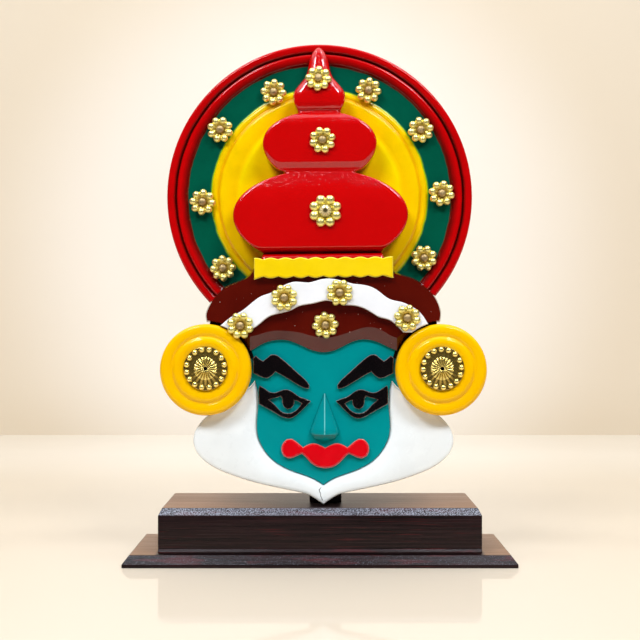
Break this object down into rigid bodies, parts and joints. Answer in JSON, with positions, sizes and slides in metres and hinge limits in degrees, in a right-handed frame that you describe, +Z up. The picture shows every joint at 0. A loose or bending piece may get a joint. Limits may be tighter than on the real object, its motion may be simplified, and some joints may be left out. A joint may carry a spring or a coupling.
{
  "type": "kathakali mask on stand",
  "caption": "Flat cut-out Kathakali dance mask with a lobed crown, a turned halo, ear discs and stamped flowers, standing on a bevelled two-step base",
  "frame": {"origin": "middle of the stand's underside, on the surface that it rests on", "axes": "+Z up, the mask faces -Y, +X to the right as seen from the front"},
  "size_m": [0.1852, 0.0632, 0.2497],
  "materials": {
    "lacquered_wood": "dark gloss lacquer over straight grain",
    "red_paint": "gloss paint",
    "halo_paint": "gloss paint: red rings, green flat, yellow grooved middle",
    "maroon_paint": "gloss paint",
    "teal_paint": "satin paint",
    "white_paint": "satin paint",
    "yellow_paint": "satin paint",
    "ear_paint": "gloss paint",
    "black_gloss": "high gloss paint",
    "lip_paint": "high gloss paint",
    "stamped_gold": "bright stamped sheet",
    "nail_metal": "dull domed head",
    "rhinestone": "cut and foiled"
  },
  "bodies": {
    "root": {"stand_plate": "lacquered_wood", "stand_block": "lacquered_wood", "support_post": "lacquered_wood", "halo_disc": "halo_paint", "crown": "red_paint", "hair_board": "maroon_paint", "headband": "white_paint", "scalloped_strip": "yellow_paint", "face_board": "teal_paint", "chin_wings": "white_paint", "nose": "teal_paint", "brow_left": "black_gloss", "brow_right": "black_gloss", "eye_left": "black_gloss", "eye_right": "black_gloss", "lips": "lip_paint", "ear_disc_left": "ear_paint", "ear_disc_right": "ear_paint", "rosette_left": "stamped_gold", "rosette_right": "stamped_gold", "flower_halo_top_left": "stamped_gold", "nail_halo_top_left": "nail_metal", "flower_halo_top_right": "stamped_gold", "nail_halo_top_right": "nail_metal", "flower_halo_upper_left": "stamped_gold", "nail_halo_upper_left": "nail_metal", "flower_halo_upper_right": "stamped_gold", "nail_halo_upper_right": "nail_metal", "flower_halo_middle_left": "stamped_gold", "nail_halo_middle_left": "nail_metal", "flower_halo_middle_right": "stamped_gold", "nail_halo_middle_right": "nail_metal", "flower_halo_lower_left": "stamped_gold", "nail_halo_lower_left": "nail_metal", "flower_halo_lower_right": "stamped_gold", "nail_halo_lower_right": "nail_metal", "flower_finial": "stamped_gold", "nail_finial": "nail_metal", "flower_crown_middle": "stamped_gold", "nail_crown_middle": "nail_metal", "flower_crown_bottom": "stamped_gold", "rhinestone": "rhinestone", "flower_band_outer_left": "stamped_gold", "nail_band_outer_left": "nail_metal", "flower_band_inner_left": "stamped_gold", "nail_band_inner_left": "nail_metal", "flower_band_inner_right": "stamped_gold", "nail_band_inner_right": "nail_metal", "flower_band_outer_right": "stamped_gold", "nail_band_outer_right": "nail_metal", "flower_forehead": "stamped_gold", "nail_forehead": "nail_metal"}
  },
  "joints": []
}
